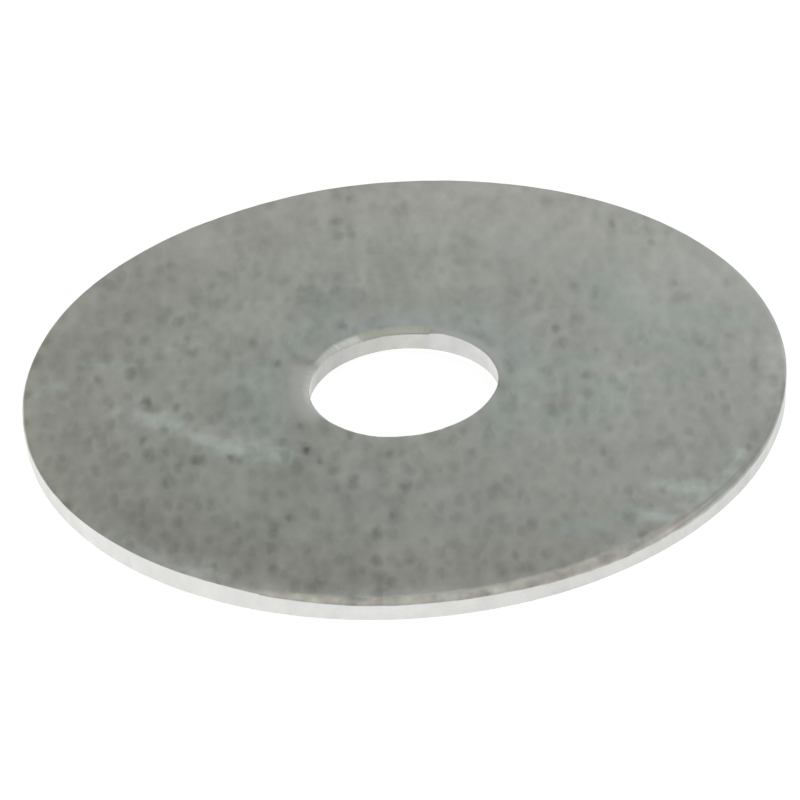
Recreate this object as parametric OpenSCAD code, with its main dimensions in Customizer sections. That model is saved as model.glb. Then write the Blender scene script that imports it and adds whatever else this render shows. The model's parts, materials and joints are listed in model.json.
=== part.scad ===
// Repair washer: a wide, thin ring stamped from steel sheet in one stroke, then tumbled and zinc plated.
// It is one solid. Its bore runs along Z, and it lies at Z = 0 on the face with the tumbled edges.
// The other face looks up: there the metal was drawn down at both cuts before it sheared.

/* [Plate] */
// Outside diameter of the washer
outer_d = 50; // [30:1:80]
// Diameter of the punched bore, along its smooth land
bore_d = 12.4; // [6:0.1:20]
// Thickness of the sheet
sheet_t = 1.5; // [1.2:0.1:3]

/* [Sheared edges] */
// Width of the die roll, where the top face curves down to a cut
roll_w = 0.6; // [0.3:0.05:1.2]
// Depth of the die roll
roll_h = 0.25; // [0.1:0.01:0.3]
// Height of the smooth, upright land below the die roll
land_h = 0.45; // [0.2:0.05:0.6]
// How far the torn lower part of the cut leans into the metal
tear_lean = 0.06; // [0:0.01:0.15]
// Radius that tumbling leaves on the lower edges
tumble_r = 0.1; // [0.05:0.01:0.2]

/* [Hidden] */
zinc = [0.56, 0.57, 0.54];
$fn = 180;
outer_r = outer_d / 2;
bore_r = bore_d / 2;
// Radius of the die roll's curve, which is level where it leaves the top face
roll_r = (roll_w * roll_w + roll_h * roll_h) / (2 * roll_h);
// Height and slope of the torn part of the cut
tear_h = sheet_t - roll_h - land_h;
tear_angle = atan(tear_lean / tear_h);

// Half section from bore to rim, with both torn walls leaning into the metal
module plate_section() {
    polygon([
        [bore_r, sheet_t],
        [outer_r, sheet_t],
        [outer_r, tear_h],
        [outer_r - tear_lean, 0],
        [bore_r + tear_lean, 0],
        [bore_r, tear_h]
    ]);
}

// The next three draw what is missing along a cut that stands on X = 0, with the metal on its left

// Metal that the die drew down: the space above a curve that starts level with the top face
module roll_offcut() {
    difference() {
        translate([-roll_w, sheet_t - roll_h]) square([2 * roll_w, 2 * roll_h]);
        translate([-roll_w, sheet_t - roll_r]) circle(roll_r);
    }
}

// Corner that tumbling wore away: the space outside a curve that touches the lower face and the torn wall
module tumbled_offcut() {
    centre_x = tumble_r * tan(tear_angle) - tumble_r / cos(tear_angle) - tear_lean;
    touch_h = tumble_r * (1 - sin(tear_angle));
    difference() {
        translate([centre_x, -tumble_r]) square([2 * tumble_r, tumble_r + touch_h]);
        translate([centre_x, tumble_r]) circle(tumble_r);
    }
}

module cut_offcuts() {
    roll_offcut();
    tumbled_offcut();
}

// The stamped ring: the section, with both cuts finished alike, turned about the bore's axis
module washer() {
    color(zinc)
        rotate_extrude()
            difference() {
                plate_section();
                translate([outer_r, 0]) cut_offcuts();
                translate([bore_r, 0]) mirror([1, 0]) cut_offcuts();
            }
}

washer();
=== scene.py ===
# %% [markdown]
# # A stamped repair washer
# The object is one piece: a wide, thin ring that a press cut from steel sheet in one stroke. It was then
# tumbled, to take the burr off its lower edges, and plated with zinc.
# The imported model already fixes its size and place, so it is read first, and every size below comes from
# it. Typing the sizes in again would also work, but then the two could drift apart.

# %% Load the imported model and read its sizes
import json
import math

import bpy
import numpy as np
from mathutils import Matrix, Vector


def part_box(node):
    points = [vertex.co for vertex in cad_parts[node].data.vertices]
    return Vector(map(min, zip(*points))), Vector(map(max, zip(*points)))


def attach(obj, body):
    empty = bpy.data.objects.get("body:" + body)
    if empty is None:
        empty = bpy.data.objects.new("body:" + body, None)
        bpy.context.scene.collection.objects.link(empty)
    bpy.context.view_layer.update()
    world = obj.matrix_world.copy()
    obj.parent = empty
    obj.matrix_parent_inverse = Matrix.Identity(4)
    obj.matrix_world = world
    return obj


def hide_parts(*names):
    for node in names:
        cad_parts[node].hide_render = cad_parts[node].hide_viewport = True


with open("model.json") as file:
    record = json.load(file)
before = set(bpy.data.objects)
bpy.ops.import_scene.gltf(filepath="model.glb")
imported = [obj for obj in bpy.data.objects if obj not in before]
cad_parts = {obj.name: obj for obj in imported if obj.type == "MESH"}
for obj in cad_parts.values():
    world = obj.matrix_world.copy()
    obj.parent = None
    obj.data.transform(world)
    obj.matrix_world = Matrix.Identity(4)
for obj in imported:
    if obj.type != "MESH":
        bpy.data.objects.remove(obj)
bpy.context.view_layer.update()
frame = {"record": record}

MM = 0.001
_, plate_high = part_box("washer")
bore_mount = next(m for m in frame["record"]["mounts"] if m["name"] == "bore")

rim_r = plate_high.x
top_z = plate_high.z
bore_r = bore_mount["dims"]["r_mm"] * MM
land_h = bore_mount["dims"]["length_mm"] * MM
land_low = bore_mount["pos_m"][2] - land_h / 2
land_top = land_low + land_h
roll_h = top_z - land_top
print(f"washer {2 * rim_r / MM:.1f} mm across, bore {2 * bore_r / MM:.1f} mm, sheet {top_z / MM:.2f} mm")
print(f"land from {land_low / MM:.2f} to {land_top / MM:.2f} mm up, die roll {roll_h / MM:.2f} mm deep")

# %% [markdown]
# ## The camera
# A camera could be moved about by eye until the outline fits. Here its place is worked out from five things
# read off the photograph: how far it looks down, how far it is rolled, how large the rim is and where its
# centre lies. The bore sits almost in the middle of the rim's outline, and that only happens from far away
# with a long lens.

# %% Place the camera where the photograph was taken from
PICTURE_PX = 800
LOOK_DOWN = math.radians(33.35)
ROLL = math.radians(-4.2)
DISTANCE = 22 * rim_r
RIM_PX = 383.2
CENTRE_PX = Vector((403.6, 382.2))

forward = Vector((0, math.cos(LOOK_DOWN), -math.sin(LOOK_DOWN)))
level_right = Vector((1, 0, 0))
level_up = level_right.cross(forward)
right = level_right * math.cos(ROLL) + level_up * math.sin(ROLL)
up = level_up * math.cos(ROLL) - level_right * math.sin(ROLL)

focal_px = RIM_PX * DISTANCE / rim_r
off = (CENTRE_PX - Vector((PICTURE_PX / 2, PICTURE_PX / 2))) / focal_px
to_centre = forward + right * off.x - up * off.y
eye = Vector((0, 0, top_z)) - to_centre * DISTANCE

camera_data = bpy.data.cameras.new("camera")
camera_data.sensor_width = 36
camera_data.lens = focal_px / PICTURE_PX * camera_data.sensor_width
camera_data.clip_start = 0.01
camera_data.clip_end = 20
camera = bpy.data.objects.new("camera", camera_data)
bpy.context.scene.collection.objects.link(camera)
camera.matrix_world = Matrix((
    (right.x, up.x, -forward.x, eye.x),
    (right.y, up.y, -forward.y, eye.y),
    (right.z, up.z, -forward.z, eye.z),
    (0, 0, 0, 1),
))
bpy.context.scene.camera = camera
print(f"lens {camera_data.lens:.0f} mm, {DISTANCE / MM:.0f} mm from the washer")

# %% [markdown]
# ## The section of the plate
# Cut the real washer in half and each side shows the same thing: a long, thin rectangle. The press leaves
# three marks on both of its short ends. At the top the metal was drawn down in a slope, the die roll. Below
# it the tool rubbed a smooth, upright land. The rest tore, and it leans a little into the metal.
# A cylinder with a hole in it would have none of these. So the section is drawn first, as a small upright
# plane that is bisected, slid and bevelled into shape, and then turned about the bore's axis.

# %% Draw the section as an upright plane
NEAR = 0.001 * MM

bpy.ops.object.select_all(action="DESELECT")
plate_w = rim_r - bore_r
bpy.ops.mesh.primitive_plane_add(
    size=1, location=(bore_r + plate_w / 2, 0, top_z / 2), rotation=(math.radians(90), 0, 0)
)
washer = bpy.context.object
washer.name = "stamped_washer"
washer.data.name = "stamped_washer"
washer.scale = (plate_w, top_z, 1)
bpy.ops.object.transform_apply(location=True, rotation=True, scale=True)
print(f"section {plate_w / MM:.1f} by {top_z / MM:.2f} mm")


# %% Helpers that pick points and edges by their place
def clear_picks():
    """Leaves edit mode with nothing picked."""
    bpy.ops.object.mode_set(mode="OBJECT")
    for part in (washer.data.vertices, washer.data.edges, washer.data.polygons):
        part.foreach_set("select", [False] * len(part))


def pick_points(test):
    """In edit mode: picks the points whose place passes the test, and says how many there are."""
    clear_picks()
    for point in washer.data.vertices:
        point.select = test(point.co)
    bpy.ops.object.mode_set(mode="EDIT")
    bpy.ops.mesh.select_mode(type="VERT")
    return sum(point.select for point in washer.data.vertices)


def pick_edges(test):
    """In edit mode: picks the edges whose two ends both pass the test, and says how many there are."""
    clear_picks()
    for edge in washer.data.edges:
        a, b = (washer.data.vertices[i].co for i in edge.vertices)
        edge.select = test(a) and test(b)
    bpy.ops.object.mode_set(mode="EDIT")
    bpy.ops.mesh.select_mode(type="EDGE")
    return sum(edge.select for edge in washer.data.edges)


# %% Cut the section at the foot of the land, and lean the torn walls in
TEAR_LEAN = 0.06 * MM
WALLS = ((rim_r, -1), (bore_r, 1))

bpy.ops.object.mode_set(mode="EDIT")
bpy.ops.mesh.select_all(action="SELECT")
bpy.ops.mesh.bisect(plane_co=(0, 0, land_low), plane_no=(0, 0, 1))
for wall, inward in WALLS:
    count = pick_points(lambda co: co.z < NEAR and abs(co.x - wall) < NEAR)
    bpy.ops.transform.translate(value=(inward * TEAR_LEAN, 0, 0))
    print(f"{count} corner leans in at {wall / MM:.1f} mm")

# %% [markdown]
# The four corners are rounded by bevels. A bevel is as wide as it is deep, but the die roll is more than
# twice as wide as deep, so the upper two are stretched afterwards, away from the wall.
# The bevel's profile matters. At 0.5 it would be a quarter round, which shades softly from face to wall. On
# the photograph the roll is a band of one tone with a clear start, so it is almost straight, with small
# round ends.

# %% Round the corners: a small bevel below, a wide drawn-down one above
TUMBLE_R = 0.1 * MM
TUMBLE_STEPS = 5
TUMBLE_SLACK = 0.02 * MM
ROLL_W = 0.6 * MM
ROLL_STEPS = 12
ROLL_PROFILE = 0.33

pick_points(lambda co: co.z < NEAR)
bpy.ops.mesh.bevel(offset=TUMBLE_R, segments=TUMBLE_STEPS, affect="VERTICES")
for wall, inward in WALLS:
    pick_points(lambda co: co.z > top_z - NEAR and abs(co.x - wall) < NEAR)
    bpy.ops.mesh.bevel(offset=roll_h, segments=ROLL_STEPS, profile=ROLL_PROFILE, affect="VERTICES")
    count = pick_points(lambda co: co.z > land_top + NEAR and abs(co.x - wall) < roll_h + NEAR)
    bpy.ops.transform.resize(value=(ROLL_W / roll_h, 1, 1), center_override=(wall, 0, top_z))
    print(f"{count} points in the die roll at {wall / MM:.1f} mm")

# %% Keep the outline only, and cut its long lines into short ones
TOP_CUTS = 47
BOTTOM_CUTS = 18
LAND_CUTS = 3
TEAR_CUTS = 9

pick_edges(lambda co: abs(co.z - land_low) < NEAR)
bpy.ops.mesh.delete(type="EDGE")
lines = (
    (TOP_CUTS, lambda co: co.z > top_z - NEAR),
    (BOTTOM_CUTS, lambda co: co.z < NEAR),
    (LAND_CUTS, lambda co: land_low - NEAR < co.z < land_top + NEAR),
    (TEAR_CUTS, lambda co: TUMBLE_R - TUMBLE_SLACK < co.z < land_low + NEAR),
)
for cuts, on_line in lines:
    count = pick_edges(on_line)
    bpy.ops.mesh.subdivide(number_cuts=cuts)
    print(f"{count} lines cut {cuts} times")
bpy.ops.object.mode_set(mode="OBJECT")
print(f"the outline has {len(washer.data.vertices)} points and {len(washer.data.edges)} lines")

# %% [markdown]
# ## From outline to ring
# The outline is turned once round the bore's axis. The Spin operator does that too, but with 720 steps it
# takes half a minute, because it adds the steps one by one. The Screw modifier with no climb makes the same
# ring at once. Its first and last outlines lie on each other, so they are merged, and the faces are turned
# to look out.

# %% Turn the outline once round the bore with a Screw modifier
TURN_STEPS = 720

turn = washer.modifiers.new("turn", "SCREW")
turn.axis = "Z"
turn.angle = math.tau
turn.steps = TURN_STEPS
turn.render_steps = TURN_STEPS
turn.use_merge_vertices = True
turn.merge_threshold = NEAR / 2
bpy.ops.object.modifier_apply(modifier=turn.name)

bpy.ops.object.mode_set(mode="EDIT")
bpy.ops.mesh.select_all(action="SELECT")
bpy.ops.mesh.remove_doubles(threshold=NEAR / 2)
bpy.ops.mesh.normals_make_consistent(inside=False)
bpy.ops.object.mode_set(mode="OBJECT")
print(f"turned to {len(washer.data.vertices)} points and {len(washer.data.polygons)} faces")

# %% [markdown]
# ## What the press left
# The die roll isn't the same all the way round. The punch never sits quite central in the die, so the gap
# between them is wider on one side, and there the sheet is drawn further down before it shears. The plate's
# grain adds its own share. On this washer the rim's roll is deepest at the near right and the bore's at the
# far side. The walls aren't quite round either: here and there they stand out or in by less than a tenth of
# a millimetre.
# Each point moves by its own amount, so the points are read into one array, moved by a rule and written
# back. The rule runs from station to station round the turn, as a measuring report would list them, and
# small waves that close on themselves after one turn roughen it without a seam.


# %% Read the points, and describe uneven work round the turn
WAVE_COUNT = 14


def read_points():
    """The washer's points as rows of x, y and z."""
    flat = np.empty(len(washer.data.vertices) * 3)
    washer.data.vertices.foreach_get("co", flat)
    return flat.reshape(-1, 3)


def write_points(points):
    """Puts moved points back in the washer's mesh."""
    washer.data.vertices.foreach_set("co", points.ravel())
    washer.data.update()


def waves(turn_angle, slowest, fastest, seed):
    """A wavy value of about -1 to 1 that closes after a turn, made of waves between two counts a turn."""
    dice = np.random.RandomState(seed)
    total = np.zeros_like(turn_angle)
    counts = np.unique(np.geomspace(slowest, fastest, WAVE_COUNT).round())
    for count in counts:
        total += np.cos(count * turn_angle + dice.uniform(0, math.tau)) * dice.uniform(0.5, 1)
    return total / math.sqrt(len(counts))


def along_stations(turn_angle, stations, column):
    """A size that runs smoothly from station to station. The first station is at 0 degrees."""
    degrees = np.degrees(turn_angle) % 360
    table = np.array(stations + ((360, *stations[0][1:]),))
    index = np.searchsorted(table[:, 0], degrees, side="right") - 1
    share = (degrees - table[index, 0]) / (table[index + 1, 0] - table[index, 0])
    share = share * share * (3 - 2 * share)
    return table[index, column] + (table[index + 1, column] - table[index, column]) * share


# %% Make the work uneven
# Each station is a direction in degrees, then the roll's width, its depth and how far the wall stands out,
# in millimetres.
RIM_STATIONS = (
    (0, 0.40, 0.13, 0), (40, 0.35, 0.12, 0), (80, 0.45, 0.28, -0.02), (100, 0.40, 0.20, 0),
    (115, 0.45, 0.30, -0.03), (152, 0.35, 0.10, 0), (170, 0.40, 0.20, -0.01), (184, 0.45, 0.25, -0.05),
    (200, 0.50, 0.12, -0.02), (222, 0.55, 0.03, 0), (240, 0.62, 0.03, 0), (250, 0.68, 0.20, 0),
    (262, 0.72, 0.31, 0), (272, 0.75, 0.30, 0), (282, 0.78, 0.34, 0), (292, 0.78, 0.45, 0),
    (303, 0.78, 0.52, 0), (318, 0.70, 0.52, 0), (333, 0.55, 0.45, 0), (345, 0.45, 0.28, -0.02),
    (354, 0.35, 0.12, -0.05),
)
BORE_STATIONS = (
    (0, 0.28, 0.06, 0.01), (20, 0.22, 0.06, 0.05), (45, 0.22, 0.05, 0.07), (62, 0.30, 0.04, 0.07),
    (78, 0.65, 0.24, 0.04), (95, 0.72, 0.28, -0.01), (112, 0.74, 0.28, 0), (130, 0.72, 0.32, 0),
    (150, 0.50, 0.22, 0.03), (170, 0.50, 0.22, 0.02), (185, 0.50, 0.20, 0), (205, 0.35, 0.20, 0),
    (250, 0.35, 0.20, 0), (272, 0.30, 0.12, 0.04), (300, 0.25, 0.05, 0.08), (335, 0.25, 0.05, 0.09),
    (350, 0.28, 0.06, 0.03),
)
# How late the roll drops: at 1 it is a straight slope, and at 3 it stays level and drops close to the wall.
RIM_DROP = ((0, 2.6), (225, 2.6), (262, 1.2), (300, 1.2), (322, 2.6))
BORE_DROP = ((0, 1.2),)
WALLS_ROUND = (
    (rim_r, -1, RIM_STATIONS, RIM_DROP, 3),
    (bore_r, 1, BORE_STATIONS, BORE_DROP, 8),
)
ROLL_WOBBLE = 0.05
SLOW_WAVES = (5, 26)
FAST_WAVES = (30, 140)
WALL_REACH = 1.5 * TEAR_LEAN

points = read_points()
angle = np.arctan2(points[:, 1], points[:, 0])
radius = np.hypot(points[:, 0], points[:, 1])
rolled_share = np.zeros(len(points))
on_wall = np.zeros(len(points), bool)
for wall, inward, stations, drops, seed in WALLS_ROUND:
    wobble = 1 + ROLL_WOBBLE * (waves(angle, *SLOW_WAVES, seed) + waves(angle, *FAST_WAVES, seed + 1))
    width = along_stations(angle, stations, 1) * MM / ROLL_W * wobble
    depth = along_stations(angle, stations, 2) * MM * wobble
    stands_out = along_stations(angle, stations, 3) * MM
    drop = along_stations(angle, drops, 1)
    from_wall = (radius - wall) * inward
    near_wall = np.clip(2 - from_wall / ROLL_W, 0, 1)
    on_wall |= from_wall < WALL_REACH
    rolled = (from_wall < ROLL_W + NEAR) & (points[:, 2] > land_top - NEAR)
    on_land = (from_wall < NEAR) & (points[:, 2] > land_low + NEAR) & ~rolled
    rolled_share[rolled] = np.clip((top_z - points[:, 2]) / roll_h, 0, 1)[rolled]
    radius[rolled] = wall + inward * (from_wall * width)[rolled]
    radius -= inward * stands_out * near_wall
    points[rolled, 2] = (top_z - depth * rolled_share**drop)[rolled]
    up_land = (points[:, 2] - land_low) / land_h
    points[on_land, 2] = (land_low + up_land * (top_z - depth - land_low))[on_land]
    print(f"roll at {wall / MM:.1f} mm: {depth.min() / MM:.2f} to {depth.max() / MM:.2f} mm deep")
points[:, 0] = radius * np.cos(angle)
points[:, 1] = radius * np.sin(angle)
write_points(points)

# %% [markdown]
# ## The torn walls
# Below the land the steel broke, and a broken wall is rough. Seen from outside, the roughness runs in short
# upright furrows, because the punch went straight down. A bump map would do from far away, but the larger
# furrows are made real in the mesh.
# A Displace modifier pushes the wall into the metal by a cloudy texture. An empty, stretched upwards,
# carries the texture, and a vertex group keeps the push to the torn part.

# %% Push furrows into the torn walls
FURROW_DEPTH = 0.03 * MM
FURROW_SIZE = 0.55 * MM
FURROW_STRETCH = 4
LEAST_WEIGHT = 0.01

points = read_points()
up_wall = np.clip((points[:, 2] - TUMBLE_R / 2) / (land_low - TUMBLE_R / 2), 0, 1)
weight = np.where(on_wall, np.sin(up_wall * math.pi) ** 0.5, 0)
torn = washer.vertex_groups.new(name="torn")
for index in np.flatnonzero(weight > LEAST_WEIGHT):
    torn.add([int(index)], float(weight[index]), "REPLACE")

stretch = bpy.data.objects.new("stretch", None)
bpy.context.scene.collection.objects.link(stretch)
stretch.scale = (1, 1, FURROW_STRETCH)
bpy.context.view_layer.update()
clouds = bpy.data.textures.new("furrows", "CLOUDS")
clouds.noise_scale = FURROW_SIZE
clouds.noise_depth = 2
furrows = washer.modifiers.new("furrows", "DISPLACE")
furrows.texture = clouds
furrows.texture_coords = "OBJECT"
furrows.texture_coords_object = stretch
furrows.vertex_group = torn.name
furrows.mid_level = 0
furrows.strength = -FURROW_DEPTH
bpy.ops.object.modifier_apply(modifier=furrows.name)
bpy.data.objects.remove(stretch)
washer.vertex_groups.clear()
moved = np.linalg.norm(read_points() - points, axis=1)
print(f"furrows up to {moved.max() / MM:.3f} mm deep on {np.count_nonzero(moved > 0)} points")

# %% Mark the die roll and the cut walls for the finish, and shade the mesh smooth
SHARP_FROM = math.radians(50)

cut_share = on_wall & (rolled_share == 0) & (points[:, 2] > NEAR)
for name, share in (("die_roll", rolled_share), ("cut_wall", cut_share.astype(float))):
    mark = washer.data.attributes.new(name, "FLOAT", "POINT")
    mark.data.foreach_set("value", share)
for face in washer.data.polygons:
    face.use_smooth = True
bpy.ops.object.shade_smooth_by_angle(angle=SHARP_FROM)
print(f"stamped washer: {len(washer.data.polygons) * 2} triangles")

# %% [markdown]
# ## Words for shader nodes
# Every finish below is a tree of nodes. Each node is one line of a calculation, so a few short helpers keep
# the trees readable: one adds any node and fills its inputs, and the others name the kinds that are used
# most.


# %% Helpers that add shader nodes
def add_node(tree, kind, inputs=None, **settings):
    """A new shader node, set up and with its inputs filled by values or by other nodes' outputs."""
    node = tree.nodes.new("ShaderNode" + kind)
    for name, value in settings.items():
        setattr(node, name, value)
    for key, value in (inputs or {}).items():
        if isinstance(value, bpy.types.NodeSocket):
            tree.links.new(value, node.inputs[key])
        else:
            node.inputs[key].default_value = value
    return node


def calc(tree, operation, *values, clamp=False):
    """A Math node's result."""
    return add_node(tree, "Math", dict(enumerate(values)), operation=operation, use_clamp=clamp).outputs[0]


def move(tree, operation, *values):
    """A Vector Math node's vector."""
    return add_node(tree, "VectorMath", dict(enumerate(values)), operation=operation).outputs["Vector"]


def length(tree, operation, *values):
    """A Vector Math node's single number, such as a distance or a dot product."""
    return add_node(tree, "VectorMath", dict(enumerate(values)), operation=operation).outputs["Value"]


def ramp(tree, value, start, end, low=0.0, high=1.0):
    """A smooth climb from low, at start, to high, at end."""
    places = {"Value": value, "From Min": start, "From Max": end, "To Min": low, "To Max": high}
    return add_node(tree, "MapRange", places, interpolation_type="SMOOTHSTEP").outputs["Result"]


def paint(tree, mask, under, over, kind="MIX"):
    """One colour laid over another as far as a mask allows."""
    node = add_node(tree, "Mix", {0: mask, 6: under, 7: over}, data_type="RGBA", blend_type=kind)
    return node.outputs[2]


# %% Helpers that make a node group and place it
def new_group(name, takes, gives):
    """An empty node group with inputs, by name, kind and first value, and with outputs, by name."""
    tree = bpy.data.node_groups.new(name, "ShaderNodeTree")
    for label, kind, start in takes:
        socket = tree.interface.new_socket(label, in_out="INPUT", socket_type="NodeSocket" + kind)
        socket.default_value = start
    for label in gives:
        tree.interface.new_socket(label, in_out="OUTPUT", socket_type="NodeSocketFloat")
    return tree, tree.nodes.new("NodeGroupInput").outputs, tree.nodes.new("NodeGroupOutput").inputs


def use_group(tree, group, inputs):
    """Places a node group in a tree and gives its first output."""
    node = tree.nodes.new("ShaderNodeGroup")
    node.node_tree = group
    for key, value in inputs.items():
        if isinstance(value, bpy.types.NodeSocket):
            tree.links.new(value, node.inputs[key])
        else:
            node.inputs[key].default_value = value
    return node.outputs[0]


# %% [markdown]
# ## Drift
# Zinc goes on unevenly, so its tone wanders over millimetres and over centimetres. A noise texture does
# that. The group gives one value round zero, so the same group can shift a tone, a roughness or an edge, at
# any scale.

# %% The drift group
drift, at, out = new_group("drift", (("Place", "Vector", (0, 0, 0)), ("Size", "Float", 1)), ("Value",))
per_size = calc(drift, "DIVIDE", 1, at["Size"])
fine = add_node(drift, "VectorMath", {0: at["Place"], 3: per_size}, operation="SCALE")
noise = add_node(drift, "TexNoise", {"Vector": fine.outputs[0], "Scale": 1, "Detail": 2, "Roughness": 0.5})
centred = calc(drift, "SUBTRACT", noise.outputs[0], 0.5)
drift.links.new(calc(drift, "MULTIPLY", centred, 2), out["Value"])
print(f"drift: {len(drift.nodes)} nodes")

# %% [markdown]
# ## Spots
# The plate is covered in small, soft, dark spots, where the zinc lies thinner. They differ in size and in
# depth of tone, and they gather in some places. Painting them one by one would take thousands of marks.
# A Voronoi texture scatters one point in every cell and gives the distance to the nearest, so a spot is all
# that lies closer than a radius. Each cell also has a colour of its own, and its channels serve as dice:
# one for the spot's size and one for its depth. A high rarity makes most spots faint and a few deep.

# %% The spots group
SMALLEST = 0.65
SIZE_SPREAD = 0.6

spot_takes = (
    ("Place", "Vector", (0, 0, 0)),
    ("Cell", "Float", 1.0),
    ("Radius", "Float", 0.4),
    ("Softness", "Float", 0.7),
    ("Rarity", "Float", 2),
)
spots, at, out = new_group("spots", spot_takes, ("Mask",))
per_size = calc(spots, "DIVIDE", 1, at["Cell"])
per_cell = add_node(spots, "VectorMath", {0: at["Place"], 3: per_size}, operation="SCALE")
scatter = {"Vector": per_cell.outputs[0], "Scale": 1, "Randomness": 0.85}
cells = add_node(spots, "TexVoronoi", scatter, voronoi_dimensions="2D")
cell_dice = add_node(spots, "SeparateColor", {0: cells.outputs["Color"]})
away = calc(spots, "MULTIPLY", cells.outputs["Distance"], at["Cell"])
own_size = calc(spots, "MULTIPLY_ADD", cell_dice.outputs[1], SIZE_SPREAD, SMALLEST)
own_radius = calc(spots, "MULTIPLY", at["Radius"], own_size)
core = calc(spots, "MULTIPLY", own_radius, calc(spots, "SUBTRACT", 1, at["Softness"]))
disc = ramp(spots, away, own_radius, core)
strength = calc(spots, "POWER", cell_dice.outputs[0], at["Rarity"])
spots.links.new(calc(spots, "MULTIPLY", disc, strength), out["Mask"])
print(f"spots: {len(spots.nodes)} nodes")

# %% [markdown]
# ## Smears
# Pale smears cross the face, where the last bath ran off or dried. Each lies along a short line and has a
# frayed edge. The group measures how far a place is from the line between two ends, adds a ragged value to
# that distance and keeps what is nearer than the half width. The ragged value is one noise that all smears
# share, so it is worked out only once. One group, placed several times, makes a bent smear or a patch.

# %% The smear group
FULL_AT = -0.1

smear_takes = (
    ("Place", "Vector", (0, 0, 0)),
    ("Ragged", "Float", 0),
    ("Start", "Vector", (0, 0, 0)),
    ("End", "Vector", (1, 0, 0)),
    ("Half Width", "Float", 1),
    ("Fray", "Float", 1),
)
smear, at, out = new_group("smear", smear_takes, ("Mask",))
along = move(smear, "SUBTRACT", at["End"], at["Start"])
reach = move(smear, "SUBTRACT", at["Place"], at["Start"])
reach_along = length(smear, "DOT_PRODUCT", reach, along)
share = calc(smear, "DIVIDE", reach_along, length(smear, "DOT_PRODUCT", along, along))
share = calc(smear, "MAXIMUM", calc(smear, "MINIMUM", share, 1), 0)
foot = add_node(smear, "VectorMath", {0: along, 3: share}, operation="SCALE").outputs[0]
gap = calc(smear, "MULTIPLY_ADD", at["Ragged"], at["Fray"], length(smear, "DISTANCE", reach, foot))
inner = calc(smear, "MULTIPLY", at["Half Width"], FULL_AT)
smear.links.new(ramp(smear, gap, at["Half Width"], inner), out["Mask"])
print(f"smear: {len(smear.nodes)} nodes")

# %% [markdown]
# ## The zinc plate
# One material covers the washer, because one bath of zinc did. It is built up in layers: the bare tone of
# the zinc and its drift, the teal and pale smears, the spots that show through them, the tint along the die
# rolls and the cut walls. Places are in millimetres, so every number below is a size on the real plate.
# The sheet was rolled along Y before it was stamped, which drew the spots out, so they are looked up in a
# space that is squeezed along Y.

# %% Start the material and read places in millimetres
ROLLED_OUT = 1.95
BORE_SIDE_TO = 14
RIM_SIDE_FROM = 16

zinc = bpy.data.materials.new("zinc_plate")
zinc.use_nodes = True
tree = zinc.node_tree
shader = tree.nodes["Principled BSDF"]
shader.inputs["Metallic"].default_value = 1

object_place = add_node(tree, "TexCoord").outputs["Object"]
place = move(tree, "MULTIPLY", object_place, (1 / MM, 1 / MM, 1 / MM))
rolled_place = move(tree, "MULTIPLY", place, (1, 1 / ROLLED_OUT, 1))
flat_place = move(tree, "MULTIPLY", place, (1, 1, 0))
from_axis = length(tree, "LENGTH", flat_place)
heading = move(tree, "NORMALIZE", flat_place)
on_rim = ramp(tree, from_axis, BORE_SIDE_TO, RIM_SIDE_FROM)
print("zinc plate started")


# %% Masks by direction
FULL_SHARE = 0.6


def facing(middle_deg, half_deg):
    """A mask that is 1 in the middle of one side of the washer and falls to 0 at its ends."""
    middle, half = math.radians(middle_deg), math.radians(half_deg)
    side = length(tree, "DOT_PRODUCT", heading, (math.cos(middle), math.sin(middle), 0))
    return ramp(tree, side, math.cos(half), math.cos(half * FULL_SHARE))


def both(*masks):
    """Where all the masks meet."""
    result = masks[0]
    for mask in masks[1:]:
        result = calc(tree, "MULTIPLY", result, mask)
    return result


print("masks by direction ready")

# %% [markdown]
# The bare zinc is a grey with a hint of green. It isn't even: its tone drifts at four scales, from wide
# clouds to a fine mottle, a little less on the far side. One slope of painted light makes the right lighter,
# and a second slope makes it bluer.
# The outer border is warmer, apart from the right side, and the last millimetre at the left is olive. Masks
# by direction and by radius say where that is, and nearness is how far a place lies towards the near side.

# %% The bare tone and its drift
GREY_ZINC = (0.647, 0.670, 0.611, 1)
WARM_ZINC = (0.656, 0.664, 0.604, 1)
OLIVE_EDGE = (0.695, 0.710, 0.620, 1)
PAINTED_LIGHT_SLOPE = (0.0018, 0, 0)
BLUE_SLOPE = (0.0005, 0, 0)
TONE_DRIFTS = ((6, 0.10), (2.6, 0.16), (1.2, 0.13), (0.6, 0.06))
FAR_CALM = 0.78
TOWARDS_NEAR = (-0.28, -0.96, 0)
FAR_SIDE = -20
LIVELY_FROM = 2
WARM_FROM = 17.5
WARM_FULL = 21.5
EDGE_FROM = rim_r / MM - 1.4
EDGE_FULL = rim_r / MM - 0.2

# The slope added here is painted light: it makes the plate lighter towards the right.
tone = calc(tree, "ADD", length(tree, "DOT_PRODUCT", place, PAINTED_LIGHT_SLOPE), 1)
nearness = length(tree, "DOT_PRODUCT", place, TOWARDS_NEAR)
liveliness = ramp(tree, nearness, FAR_SIDE, LIVELY_FROM, FAR_CALM, 1)
for size, amount in TONE_DRIFTS:
    value = use_group(tree, drift, {"Place": rolled_place, "Size": size})
    tone = calc(tree, "MULTIPLY_ADD", calc(tree, "MULTIPLY", value, liveliness), amount, tone)
warm_side = calc(tree, "SUBTRACT", 1, facing(355, 62))
warm_border = both(ramp(tree, from_axis, WARM_FROM, WARM_FULL), warm_side)
left_edge = both(ramp(tree, from_axis, EDGE_FROM, EDGE_FULL), facing(184, 40))
colour = paint(tree, warm_border, GREY_ZINC, WARM_ZINC)
colour = paint(tree, left_edge, colour, OLIVE_EDGE)
print(f"{len(TONE_DRIFTS)} scales of drift, a warmer border and an olive edge at the left")
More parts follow.
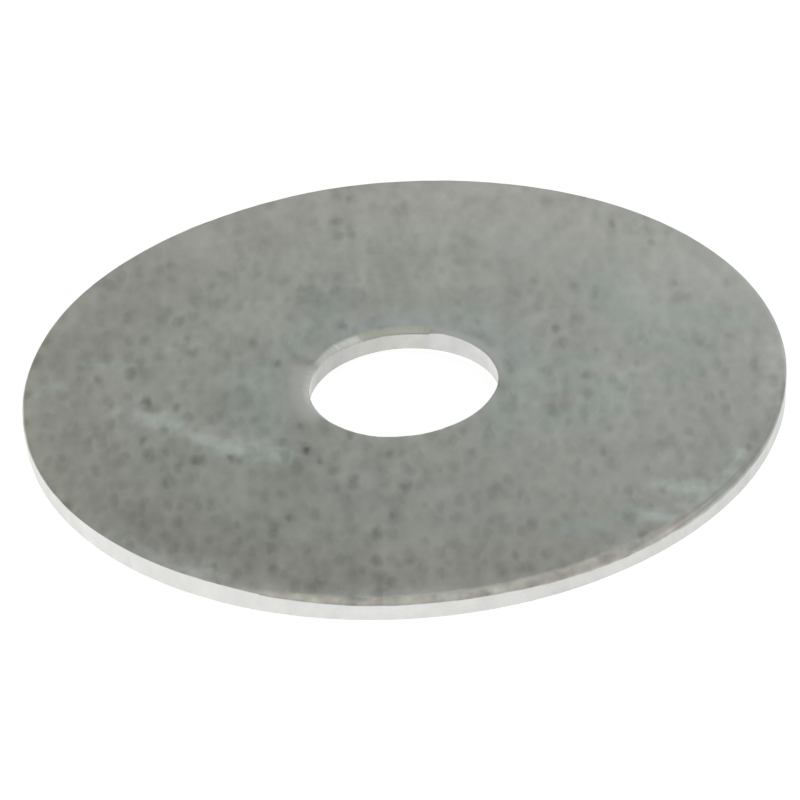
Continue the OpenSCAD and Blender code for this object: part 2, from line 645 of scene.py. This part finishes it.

# %% [markdown]
# Some shades stay in one place, which no noise can give: the plate is darker behind the bore and at the far
# left, and brighter at the right. They are partly the zinc's own tone and partly painted light and shade;
# the brighter right is painted light. They are placed one by one. Each row gives two ends, in millimetres
# from the bore's axis, a half width and the change in tone. Their edges, and those of all smears that
# follow, are frayed by one noise.

# %% Lay the wide shades of tone, painted light and painted shade
FRAY_SIZE = 1.6
SHADE_FRAY = 1.5
TONE_AND_LIGHT_SHADES = (
    ((9.6, 0.0), (8.4, 6.0), 2.2, -0.04),
    ((5.6, 9.0), (-6.0, 10.6), 2.6, -0.11),
    ((14.3, -1.0), (13.8, -6.0), 4.0, 0.17),
    ((9.5, -8.0), (12.5, -17.0), 2.8, 0.10),
    ((16.5, -11.0), (18.5, -15.5), 4.0, 0.06),
    ((-20.0, 9.0), (-15.5, 15.5), 5.0, -0.05),
    ((-17.0, 6.0), (-15.0, -1.0), 3.0, 0.05),
    ((-14.8, -6.0), (-13.2, -7.4), 2.2, -0.13),
    ((-6.2, -18.4), (-6.0, -21.0), 2.4, -0.06),
    ((-6.0, -21.6), (-1.0, -22.4), 2.2, -0.05),
    ((-19.0, -12.0), (-8.0, -20.0), 5.0, -0.06),
    ((24.2, -6.0), (24.7, 3.0), 1.3, 0.14),
    ((18.0, 1.0), (18.0, 3.0), 2.2, 0.05),
    ((-24.0, -4.0), (-24.0, 5.0), 1.6, 0.05),
    ((-3.0, -10.8), (-1.0, -10.2), 2.4, 0.09),
    ((-10.6, -14.2), (-9.4, -13.6), 2.2, 0.05),
    ((-3.2, 14.0), (4.5, 15.0), 3.0, -0.09),
    ((9.0, 10.0), (11.0, 10.5), 2.0, -0.05),
    ((-10.4, 6.0), (-9.6, 7.4), 2.0, -0.05),
    ((-2.2, -14.0), (-1.8, -18.4), 2.2, 0.06),
    ((-6.2, -13.4), (-6.0, -15.0), 1.8, -0.05),
    ((13.6, -18.2), (14.6, -17.4), 2.0, 0.06),
    ((-2.6, -17.0), (-2.5, -17.2), 1.0, 0.09),
    ((22.0, -2.0), (22.0, 2.5), 1.8, -0.04),
    ((-3.0, 22.8), (8.0, 22.4), 1.6, 0.05),
    ((-11.0, 17.6), (-8.6, 18.4), 2.4, -0.10),
    ((-14.4, 5.6), (-14.0, 9.6), 2.4, 0.05),
    ((10.0, 6.0), (15.0, 7.0), 3.5, 0.05),
    ((-8.3, 3.0), (-8.6, -5.0), 2.4, 0.05),
    ((8.8, 6.0), (11.2, 6.0), 2.2, 0.04),
    ((-22.4, 1.0), (-21.6, 3.0), 1.8, -0.04),
    ((17.2, -17.7), (18.6, -16.2), 0.9, 0.08),
    ((-16.6, -18.4), (-13.0, -21.1), 1.0, 0.16),
    ((12.9, -21.3), (15.3, -19.6), 1.0, -0.13),
)


def lay_smear(start, end, half_width, fray):
    """The mask of one smear on the upper face."""
    height = top_z / MM
    size = {"Start": (*start, height), "End": (*end, height), "Half Width": half_width, "Fray": fray}
    return use_group(tree, smear, {"Place": place, "Ragged": ragged, **size})


ragged = use_group(tree, drift, {"Place": place, "Size": FRAY_SIZE})
# These rows paint light and shade into the tone, together with the zinc's own unevenness.
for start, end, half_width, change in TONE_AND_LIGHT_SHADES:
    tone = calc(tree, "MULTIPLY_ADD", lay_smear(start, end, half_width, SHADE_FRAY), change, tone)
print(f"{len(TONE_AND_LIGHT_SHADES)} wide shades")

# %% [markdown]
# Teal patches show through the warm grey, where the zinc's clear coat lies thicker. Most come from drift,
# and some stand out enough to be placed one by one, with the same frayed smear group as the shades. Each row
# gives two ends and a half width.

# %% Lay the teal patches
TEAL_ZINC = (0.618, 0.680, 0.624, 1)
BLUE_ZINC = (0.624, 0.672, 0.636, 1)
TEAL_SIZE = 4.0
TEAL_PATCHES = (
    ((-4.0, 10.5), (-7.0, 5.5), 3.0),
    ((-9.5, 2.5), (-9.8, -6.0), 3.2),
    ((5.0, 7.5), (8.5, 1.0), 2.6),
    ((8.5, 1.0), (6.0, -6.0), 3.0),
    ((9.5, -1.5), (14.0, -2.5), 2.6),
    ((9.5, -5.8), (13.0, -4.6), 2.8),
    ((17.0, -2.0), (19.0, -1.0), 2.0),
    ((10.5, 1.0), (12.0, 1.2), 2.6),
    ((16.5, 3.0), (18.5, 2.5), 3.0),
    ((13.5, 10.5), (15.5, 5.0), 3.2),
    ((18.0, 6.0), (22.0, 5.0), 2.4),
    ((10.0, -18.0), (14.0, -17.5), 1.8),
)
TEAL_FRAY = 1.6
TEAL_SHIFT = (37, 11, 5)
TEAL_FROM = 0.05
TEAL_FULL = 0.25
LOOSE_TEAL = 0.12
RING_FROM = 9.5
RING_FULL = 7.5

shifted = move(tree, "ADD", place, TEAL_SHIFT)
teal = use_group(tree, drift, {"Place": shifted, "Size": TEAL_SIZE})
teal = ramp(tree, teal, TEAL_FROM, TEAL_FULL, 0, LOOSE_TEAL)
for start, end, half_width in TEAL_PATCHES:
    teal = calc(tree, "MAXIMUM", teal, lay_smear(start, end, half_width, TEAL_FRAY))
colour = paint(tree, teal, colour, TEAL_ZINC)
bore_ring = both(ramp(tree, from_axis, RING_FROM, RING_FULL), facing(75, 75))
colour = paint(tree, bore_ring, colour, BLUE_ZINC)
print(f"{len(TEAL_PATCHES)} teal patches and a blue one behind the bore")

# %% [markdown]
# Pale smears come next. The longest runs in three bends from the left towards the bore. A group of short
# ones lies at the near right, and the near left of the rim is rubbed pale in patches. The first rows are
# the bright, slightly teal ones, and the second rows are the dry, grey ones. Each row ends with a fray and
# a strength.

# %% Lay the pale smears
PALE_ZINC = (0.80, 0.90, 0.84, 1)
DRY_ZINC = (0.81, 0.835, 0.785, 1)
FILM_SHIFT = (5, 31, 17)
FILM_SIZE = 0.9
FILM_FROM = -0.4
FILM_FULL = 0.2
THINNEST_FILM = 0.55
PALE_SMEARS = (
    ((-16.2, -2.2), (-15.0, -3.2), 1.5, 0.5, 1.0),
    ((-14.4, -4.0), (-12.4, -5.6), 1.0, 0.6, 0.7),
    ((-12.0, -6.0), (-10.6, -6.8), 1.3, 0.6, 0.9),
    ((-10.6, -6.8), (-8.0, -7.6), 1.5, 0.7, 0.95),
    ((15.9, -14.0), (17.6, -14.6), 1.2, 0.7, 0.8),
    ((17.8, -14.6), (19.4, -15.0), 1.4, 0.7, 0.85),
    ((19.6, -14.2), (21.3, -11.0), 1.1, 0.8, 0.7),
    ((18.6, -15.6), (17.4, -17.6), 1.3, 0.8, 0.4),
    ((14.9, -17.3), (16.6, -18.0), 1.1, 0.7, 0.55),
    ((-22.8, 2.8), (-23.4, 2.2), 1.2, 0.7, 0.5),
    ((-21.0, 5.0), (-18.2, 4.4), 1.0, 0.6, 0.4),
)
DRY_SMEARS = (
    ((-16.8, 1.4), (-18.2, -0.6), 1.1, 0.6, 0.4),
    ((-18.8, -1.0), (-16.4, -2.0), 1.6, 0.8, 1.0),
    ((-13.2, -4.8), (-9.6, -6.0), 1.8, 0.8, 0.8),
    ((-20.4, -14.4), (-16.4, -18.4), 1.2, 0.9, 0.6),
    ((-18.6, -16.4), (-12.6, -21.4), 2.0, 0.8, 1.0),
    ((-11.6, -21.9), (-6.0, -24.0), 1.1, 0.8, 0.7),
    ((-6.5, -23.8), (2.5, -24.3), 0.8, 0.8, 0.8),
    ((15.9, -18.3), (17.6, -17.8), 1.0, 0.5, 0.7),
    ((12.4, -20.8), (13.6, -20.0), 0.8, 0.5, 0.5),
)

patchy_place = move(tree, "ADD", place, FILM_SHIFT)
patchy = use_group(tree, drift, {"Place": patchy_place, "Size": FILM_SIZE})
patchy = ramp(tree, patchy, FILM_FROM, FILM_FULL, THINNEST_FILM, 1)
for smears, film in ((DRY_SMEARS, DRY_ZINC), (PALE_SMEARS, PALE_ZINC)):
    pale = 0.0
    for start, end, half_width, fray, strength in smears:
        one = calc(tree, "MULTIPLY", lay_smear(start, end, half_width, fray), strength)
        pale = calc(tree, "MAXIMUM", pale, one)
    pale = calc(tree, "MULTIPLY", pale, patchy)
    colour = paint(tree, pale, colour, film)
print(f"{len(PALE_SMEARS)} pale and {len(DRY_SMEARS)} dry smears")

# %% [markdown]
# The spots are laid in four layers, from close ones to ones far apart of which few are deep, each shifted
# so that no two layers fall in step. They are deeper on the near side of the plate, and they gather by
# drift. A spot group alone would give neat discs, so the place where it is looked up is first pushed about a
# little by a noise, and no spot is quite round.

# %% The spots: four layers, deeper on the near side
SPOT_LAYERS = (
    ({"Cell": 1.1, "Radius": 0.56, "Softness": 0.75, "Rarity": 0.5}, 0.11, (0, 0, 0)),
    ({"Cell": 1.3, "Radius": 0.62, "Softness": 0.75, "Rarity": 0.8}, 0.11, (71, 29, 0)),
    ({"Cell": 1.6, "Radius": 0.70, "Softness": 0.8, "Rarity": 1.2}, 0.10, (37, 83, 0)),
    ({"Cell": 1.9, "Radius": 0.54, "Softness": 0.8, "Rarity": 2.3}, 0.05, (13, 57, 0)),
)
GATHERS = ((4, 1.0), (2.2, 1.2))
GATHER_SHIFT = (-19, 53, 8)
GATHER_FROM = 14
FAR_GATHER = 0.5
NEAR_GATHER = 1.3
FEWEST = 0.2
MOST_FROM = 0
FAR_MOST = 1.0
NEAR_MOST = 1.35
WARP_SIZE = 0.7
WARP = 0.45

swirls = add_node(tree, "TexNoise", {"Vector": rolled_place, "Scale": 1 / WARP_SIZE, "Detail": 1})
warp = move(tree, "SUBTRACT", swirls.outputs["Color"], (0.5, 0.5, 0.5))
warp = move(tree, "MULTIPLY", warp, (WARP, WARP, 0))
spot_place = move(tree, "ADD", rolled_place, warp)
gather = ramp(tree, nearness, FAR_SIDE, GATHER_FROM, FAR_GATHER, NEAR_GATHER)
most = ramp(tree, nearness, FAR_SIDE, MOST_FROM, FAR_MOST, NEAR_MOST)
for size, amount in GATHERS:
    value = use_group(tree, drift, {"Place": move(tree, "ADD", place, GATHER_SHIFT), "Size": size})
    gather = calc(tree, "MULTIPLY_ADD", value, amount, gather)
gather = calc(tree, "MINIMUM", calc(tree, "MAXIMUM", gather, FEWEST), most)
for values, depth, shift in SPOT_LAYERS:
    mask = use_group(tree, spots, {"Place": move(tree, "ADD", spot_place, shift), **values})
    tone = calc(tree, "MULTIPLY_ADD", calc(tree, "MULTIPLY", mask, gather), -depth, tone)
print(f"{len(SPOT_LAYERS)} layers of spots")

# %% [markdown]
# The deepest spots are landmarks on this washer, so they are placed one by one, from the photograph: x and y
# in millimetres, and how much of the tone each takes away.

# %% Place the landmark spots
LANDMARK_SPOTS = (
    (-6.6, -7.2, 0.42), (-5.8, -8.7, 0.26), (-11.5, -7.4, 0.34), (-10.9, -7.8, 0.22), (-13.8, -7.4, 0.22),
    (-16.8, 0.1, 0.30), (-14.9, -1.0, 0.30), (-8.1, 3.2, 0.28), (-17.1, -4.7, 0.25), (-1.3, -8.3, 0.24),
    (-6.9, -4.3, 0.22), (-20.0, 2.9, 0.22), (-9.7, 6.1, 0.22), (14.7, 17.4, 0.24), (7.1, -2.8, 0.21),
    (13.1, -7.2, 0.20), (-12.8, -19.7, 0.20), (6.9, -14.0, 0.20), (18.9, -13.7, 0.19), (13.3, -17.3, 0.19),
    (-4.7, -11.7, 0.19), (17.2, 14.9, 0.18), (-20.7, -4.1, 0.18), (12.4, -10.0, 0.18), (10.2, 5.0, 0.17),
    (9.1, 11.1, 0.16), (11.8, -19.1, 0.19), (-9.8, -3.1, 0.18),
)
LANDMARK_R = 0.46

for x, y, depth in LANDMARK_SPOTS:
    centre = (x, y / ROLLED_OUT, top_z / MM)
    gap = length(tree, "DISTANCE", spot_place, centre)
    tone = calc(tree, "SUBTRACT", tone, ramp(tree, gap, LANDMARK_R, 0, 0, depth))
blue_tone = calc(tree, "ADD", tone, length(tree, "DOT_PRODUCT", place, BLUE_SLOPE))
face_tone = add_node(tree, "CombineColor", {0: tone, 1: tone, 2: blue_tone}).outputs[0]
colour = paint(tree, 1.0, colour, face_tone, "MULTIPLY")
print(f"{len(LANDMARK_SPOTS)} landmark spots")

# %% [markdown]
# ## The tint along the die rolls, and light and shade painted there
# Where the sheet was drawn down, the zinc took a faint warm tint: beige with olive patches along the near
# rim, and olive behind the bore. Left of that the bore's roll carries a near-white painted highlight, down
# to an edge darkened with painted shade, and the rim's roll is duller at the near right. The face round the
# bore has a slightly paler lip at its right, which is painted light, and a wider, greener one at its left.
# The mark made with the mesh says where the roll is. Its sides are picked by direction, with the dot product
# of a place and a direction, and drift breaks the tint into patches.

# %% Tint the die rolls, and paint light and shade along them
BEIGE_ZINC = (0.68, 0.648, 0.585, 1)
OLIVE_ZINC = (0.62, 0.637, 0.52, 1)
# The near-white colour on the bore's roll at its far left is a painted highlight.
PAINTED_HIGHLIGHT_ZINC = (0.95, 0.965, 0.915, 1)
# The paler lip colour at the bore's right is painted light.
LIP_PAINTED_LIGHT = (0.75, 0.77, 0.74, 1)
LEFT_LIP = (0.76, 0.80, 0.735, 1)
LEFT_CORNER = (0.83, 0.86, 0.80, 1)
DULL_ROLL = 0.34
# The darkening at the corner of the bore's roll and wall is painted shade.
CORNER_PAINTED_SHADE = 0.15
PATCH_SIZE = 1.5
MOTTLE_SIZE = 1.3
MOTTLE_SHIFT = (61, 7, 23)
MOTTLE = 0.7
BORE_MM = bore_r / MM
LIP_FROM = BORE_MM + 0.9
LIP_FULL = BORE_MM + 0.1
WIDE_LIP_FROM = BORE_MM + 2.1
WIDE_LIP_FULL = BORE_MM + 0.6

die_roll = add_node(tree, "Attribute", attribute_name="die_roll").outputs["Fac"]
at_bore = calc(tree, "SUBTRACT", 1, on_rim)
near_roll = both(facing(283, 46), on_rim, ramp(tree, die_roll, 0.0, 0.3))
bore_roll = both(at_bore, ramp(tree, die_roll, 0.0, 0.35))
lip = ramp(tree, from_axis, LIP_FROM, LIP_FULL)
wide_lip = ramp(tree, from_axis, WIDE_LIP_FROM, WIDE_LIP_FULL)
patches = use_group(tree, drift, {"Place": place, "Size": PATCH_SIZE})
warm_patches = ramp(tree, patches, -0.25, 0.25, 0.3, 1.0)
mottle_place = move(tree, "ADD", place, MOTTLE_SHIFT)
mottle = use_group(tree, drift, {"Place": mottle_place, "Size": MOTTLE_SIZE})
olive_patches = ramp(tree, mottle, 0.0, 0.3, 0, 0.6)
far_olive = ramp(tree, patches, -0.25, 0.25, 0.75, 1.0)
tints_and_painted_light = (
    (both(near_roll, warm_patches), BEIGE_ZINC),
    (both(facing(268, 24), near_roll, olive_patches), OLIVE_ZINC),
    # Painted light: the paler lip at the bore's right.
    (both(facing(45, 55), lip), LIP_PAINTED_LIGHT),
    (both(facing(184, 34), wide_lip), LEFT_LIP),
    (both(facing(182, 30), lip), LEFT_CORNER),
    (both(facing(96, 34), bore_roll, far_olive), OLIVE_ZINC),
    # Painted highlight on the bore's roll at its far left.
    (both(facing(133, 23), bore_roll), PAINTED_HIGHLIGHT_ZINC),
)
for mask, tint in tints_and_painted_light:
    colour = paint(tree, mask, colour, tint)
roll_tone = calc(tree, "MULTIPLY_ADD", both(mottle, near_roll, facing(270, 50)), MOTTLE, 1)
dull_side = both(facing(334, 25), on_rim, ramp(tree, die_roll, 0.15, 0.55))
roll_tone = calc(tree, "MULTIPLY_ADD", dull_side, -DULL_ROLL, roll_tone)
# Painted shade where the bore's roll meets its wall.
corner = both(facing(150, 35), at_bore, ramp(tree, die_roll, 0.7, 1.0))
roll_tone = calc(tree, "MULTIPLY_ADD", corner, -CORNER_PAINTED_SHADE, roll_tone)
roll_grey = add_node(tree, "CombineColor", {0: roll_tone, 1: roll_tone, 2: roll_tone}).outputs[0]
colour = paint(tree, 1.0, colour, roll_grey, "MULTIPLY")
print(f"{len(tints_and_painted_light)} tints along the edges")

# %% [markdown]
# ## The cut walls
# The walls are bare of spots. The tools slid down them and left marks that are fine across and long up and
# down, which is ordinary noise squeezed in height. Because the noise is solid, it wraps round both walls
# with no seam. The torn part is painted a little lighter than the land, painted light against the shade of
# its inward lean. The walls that face left are painted paler than those that face right, as painted light
# from the left. The bore's wall is darkened with painted shade, most at the far left. Its far side has a
# yellowish stretch, and both ends are paler.

# %% Finish the cut walls, with painted light and shade
CUT_ZINC = (0.706, 0.710, 0.690, 1)
YELLOW_CUT = (0.704, 0.711, 0.664, 1)
TORN_PAINTED_LIGHT = 1.05
LEFT_PAINTED_LIGHT = 0.13
BORE_PAINTED_SHADE = 0.14
STREAKS = ((2.4, 0.12), (0.8, 0.08), (0.25, 0.03))
SIDE_PAINTED_SHADE = 0.05
ENDS_PALER = 0.09
STREAK_SQUEEZE = 0.5
LAND_FROM = land_low / MM - 0.08
LAND_FULL = land_low / MM + 0.04

cut_wall = ramp(tree, add_node(tree, "Attribute", attribute_name="cut_wall").outputs["Fac"], 0.0, 0.3)
height = add_node(tree, "SeparateXYZ", {0: place}).outputs["Z"]
on_land = ramp(tree, height, LAND_FROM, LAND_FULL)
upright_place = move(tree, "MULTIPLY", place, (1, 1, STREAK_SQUEEZE))
# The torn part is painted lighter than the land: painted light against the shade of its lean.
wall_tone = calc(tree, "MULTIPLY_ADD", on_land, 1 - TORN_PAINTED_LIGHT, TORN_PAINTED_LIGHT)
for gap, amount in STREAKS:
    value = use_group(tree, drift, {"Place": upright_place, "Size": gap})
    wall_tone = calc(tree, "MULTIPLY_ADD", value, amount, wall_tone)
outward = calc(tree, "MULTIPLY_ADD", on_rim, 2, -1)
rightward = calc(tree, "MULTIPLY", add_node(tree, "SeparateXYZ", {0: heading}).outputs["X"], outward)
# Walls that face left are painted paler: painted light from the left.
wall_tone = calc(tree, "MULTIPLY_ADD", rightward, -LEFT_PAINTED_LIGHT, wall_tone)
# The bore's wall is darkened with painted shade, and more on its far left side.
wall_tone = calc(tree, "MULTIPLY_ADD", at_bore, -BORE_PAINTED_SHADE, wall_tone)
wall_tone = calc(tree, "MULTIPLY_ADD", both(facing(130, 35), at_bore), -SIDE_PAINTED_SHADE, wall_tone)
ends = calc(tree, "ADD", facing(176, 30), facing(5, 25))
wall_tone = calc(tree, "MULTIPLY_ADD", both(ends, at_bore), ENDS_PALER, wall_tone)
wall_grey = add_node(tree, "CombineColor", {0: wall_tone, 1: wall_tone, 2: wall_tone}).outputs[0]
wall_colour = paint(tree, both(facing(98, 26), at_bore), CUT_ZINC, YELLOW_CUT)
wall_colour = paint(tree, 1.0, wall_colour, wall_grey, "MULTIPLY")
colour = paint(tree, cut_wall, colour, wall_colour)
tree.links.new(colour, shader.inputs["Base Color"])
print(f"cut walls with {len(STREAKS)} scales of marks")

# %% [markdown]
# Roughness follows the finish: a dark spot or shade is a little rougher than bright zinc, a pale smear too,
# the land is smoother and the torn wall rougher. The bump is only a few thousandths of a millimetre: a fine
# grain, and over it the soft peel of the coat, so highlights break up a little without a visible pattern.

# %% Roughness and grain
FACE_ROUGHNESS = 0.41
SPOTS_ROUGHER = 0.25
SMEARS_ROUGHER = 0.08
LAND_ROUGHNESS = 0.34
TORN_ROUGHNESS = 0.48
GRAIN_SIZE = 0.2
PEEL_SIZE = 0.8
PEEL_OVER_GRAIN = 3
BUMP_HEIGHT = 0.002 * MM
BUMP_STRENGTH = 0.2

rough = calc(tree, "MULTIPLY_ADD", tone, -SPOTS_ROUGHER, FACE_ROUGHNESS + SPOTS_ROUGHER)
rough = calc(tree, "MULTIPLY_ADD", pale, SMEARS_ROUGHER, rough)
wall_rough = calc(tree, "MULTIPLY_ADD", on_land, LAND_ROUGHNESS - TORN_ROUGHNESS, TORN_ROUGHNESS)
rough = calc(tree, "MULTIPLY_ADD", calc(tree, "SUBTRACT", wall_rough, rough), cut_wall, rough)
tree.links.new(rough, shader.inputs["Roughness"])

grain = use_group(tree, drift, {"Place": upright_place, "Size": GRAIN_SIZE})
peel = use_group(tree, drift, {"Place": rolled_place, "Size": PEEL_SIZE})
relief = calc(tree, "MULTIPLY_ADD", peel, PEEL_OVER_GRAIN, grain)
bump = add_node(tree, "Bump", {"Height": relief, "Strength": BUMP_STRENGTH, "Distance": BUMP_HEIGHT})
tree.links.new(bump.outputs[0], shader.inputs["Normal"])
print(f"zinc plate: {len(tree.nodes)} nodes")

# %% Give the washer its finish and its place in the frame
washer.data.materials.clear()
washer.data.materials.append(zinc)
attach(washer, "root")
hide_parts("washer")
print("the stamped washer stands for the packed one")

# %% [markdown]
# ## The table
# The washer lies on a plain, bright table. A white sheet lit by lamps would do, but lamps leave shadows and
# a bright middle. Here the sheet also glows a little, as an opal table lit from below does, so it stays
# even.

# %% Lay the table under the washer
TABLE_R = 4
TABLE_GAP = 0.01 * MM
TABLE_GLOW = 0.66

bpy.ops.object.select_all(action="DESELECT")
bpy.ops.mesh.primitive_circle_add(
    vertices=128, radius=TABLE_R, fill_type="NGON", location=(0, 0, -TABLE_GAP)
)
table = bpy.context.object
table.name = "table"
bpy.ops.object.transform_apply(location=True)
paper = bpy.data.materials.new("pale_table")
paper.use_nodes = True
sheet = paper.node_tree.nodes["Principled BSDF"]
sheet.inputs["Base Color"].default_value = (0.8, 0.8, 0.8, 1)
sheet.inputs["Roughness"].default_value = 0.9
sheet.inputs["Specular IOR Level"].default_value = 0.2
sheet.inputs["Emission Color"].default_value = (1, 1, 1, 1)
sheet.inputs["Emission Strength"].default_value = TABLE_GLOW
table.data.materials.append(paper)
print(f"table {2 * TABLE_R} m across")

# %% [markdown]
# ## The strip light
# Matt metal shows a soft picture of what is round it. On the photograph the far side of the face is lighter
# than the near side, and the right lighter than the left. A lamp far away can't do that to a flat plate,
# because it shows alike everywhere on it. A light close by can: from the far side of the plate it stands
# higher. So a strip of light runs round the washer at a hand's width, and it is brighter on the right. The
# camera looks through it.

# %% Hang the strip light round the washer
STRIP_R = 90 * MM
STRIP_LOW = 25 * MM
STRIP_HIGH = 58 * MM
STRIP_GLOW = 0.6
STRIP_LEAN = 0.5

bpy.ops.object.select_all(action="DESELECT")
bpy.ops.mesh.primitive_cylinder_add(
    vertices=96,
    radius=STRIP_R,
    depth=STRIP_HIGH - STRIP_LOW,
    end_fill_type="NOTHING",
    location=(0, 0, (STRIP_LOW + STRIP_HIGH) / 2),
)
strip = bpy.context.object
strip.name = "strip_light"
strip.visible_camera = False
bpy.ops.object.transform_apply(location=True)
glow = bpy.data.materials.new("strip_glow")
glow.use_nodes = True
strip_tree = glow.node_tree
strip_tree.nodes.clear()
strip_place = add_node(strip_tree, "TexCoord").outputs["Object"]
along_x = add_node(strip_tree, "SeparateXYZ", {0: strip_place}).outputs["X"]
lean = calc(strip_tree, "MULTIPLY_ADD", along_x, STRIP_GLOW * STRIP_LEAN / STRIP_R, STRIP_GLOW)
emission = add_node(strip_tree, "Emission", {"Strength": lean})
add_node(strip_tree, "OutputMaterial", {"Surface": emission.outputs[0]})
strip.data.materials.append(glow)
print(f"strip light from {STRIP_LOW / MM:.0f} to {STRIP_HIGH / MM:.0f} mm up")

# %% [markdown]
# ## The tent
# All else is a pale tent, which is the world. It is brightest overhead, where the lamps shine through the
# cloth, and dimmest half way up. The die rolls lean back and mirror what is overhead, which is why they
# come out as light bands against the face.

# %% Put up the tent
TENT = ((0, 0.36), (0.3, 0.36), (0.55, 0.18), (0.95, 0.64))

world = bpy.data.worlds.new("tent")
bpy.context.scene.world = world
world.use_nodes = True
sky = world.node_tree
sky.nodes.clear()
up_share = add_node(sky, "SeparateXYZ", {0: add_node(sky, "TexCoord").outputs["Generated"]}).outputs["Z"]
cloth = add_node(sky, "ValToRGB", {0: up_share})
for _ in TENT[2:]:
    cloth.color_ramp.elements.new(1)
for stop, (place_up, light) in zip(cloth.color_ramp.elements, TENT):
    stop.position = place_up
    stop.color = (light, light, light, 1)
tent_light = add_node(sky, "Background", {"Color": cloth.outputs[0]})
plain_white = add_node(sky, "Background", {"Color": (1, 1, 1, 1)})
seen = add_node(sky, "LightPath").outputs["Is Camera Ray"]
backdrop = add_node(sky, "MixShader", {0: seen, 1: tent_light.outputs[0], 2: plain_white.outputs[0]})
add_node(sky, "OutputWorld", {"Surface": backdrop.outputs[0]})
bpy.context.scene.view_settings.view_transform = "Standard"
print(f"tent with {len(TENT)} stops from the table to overhead")
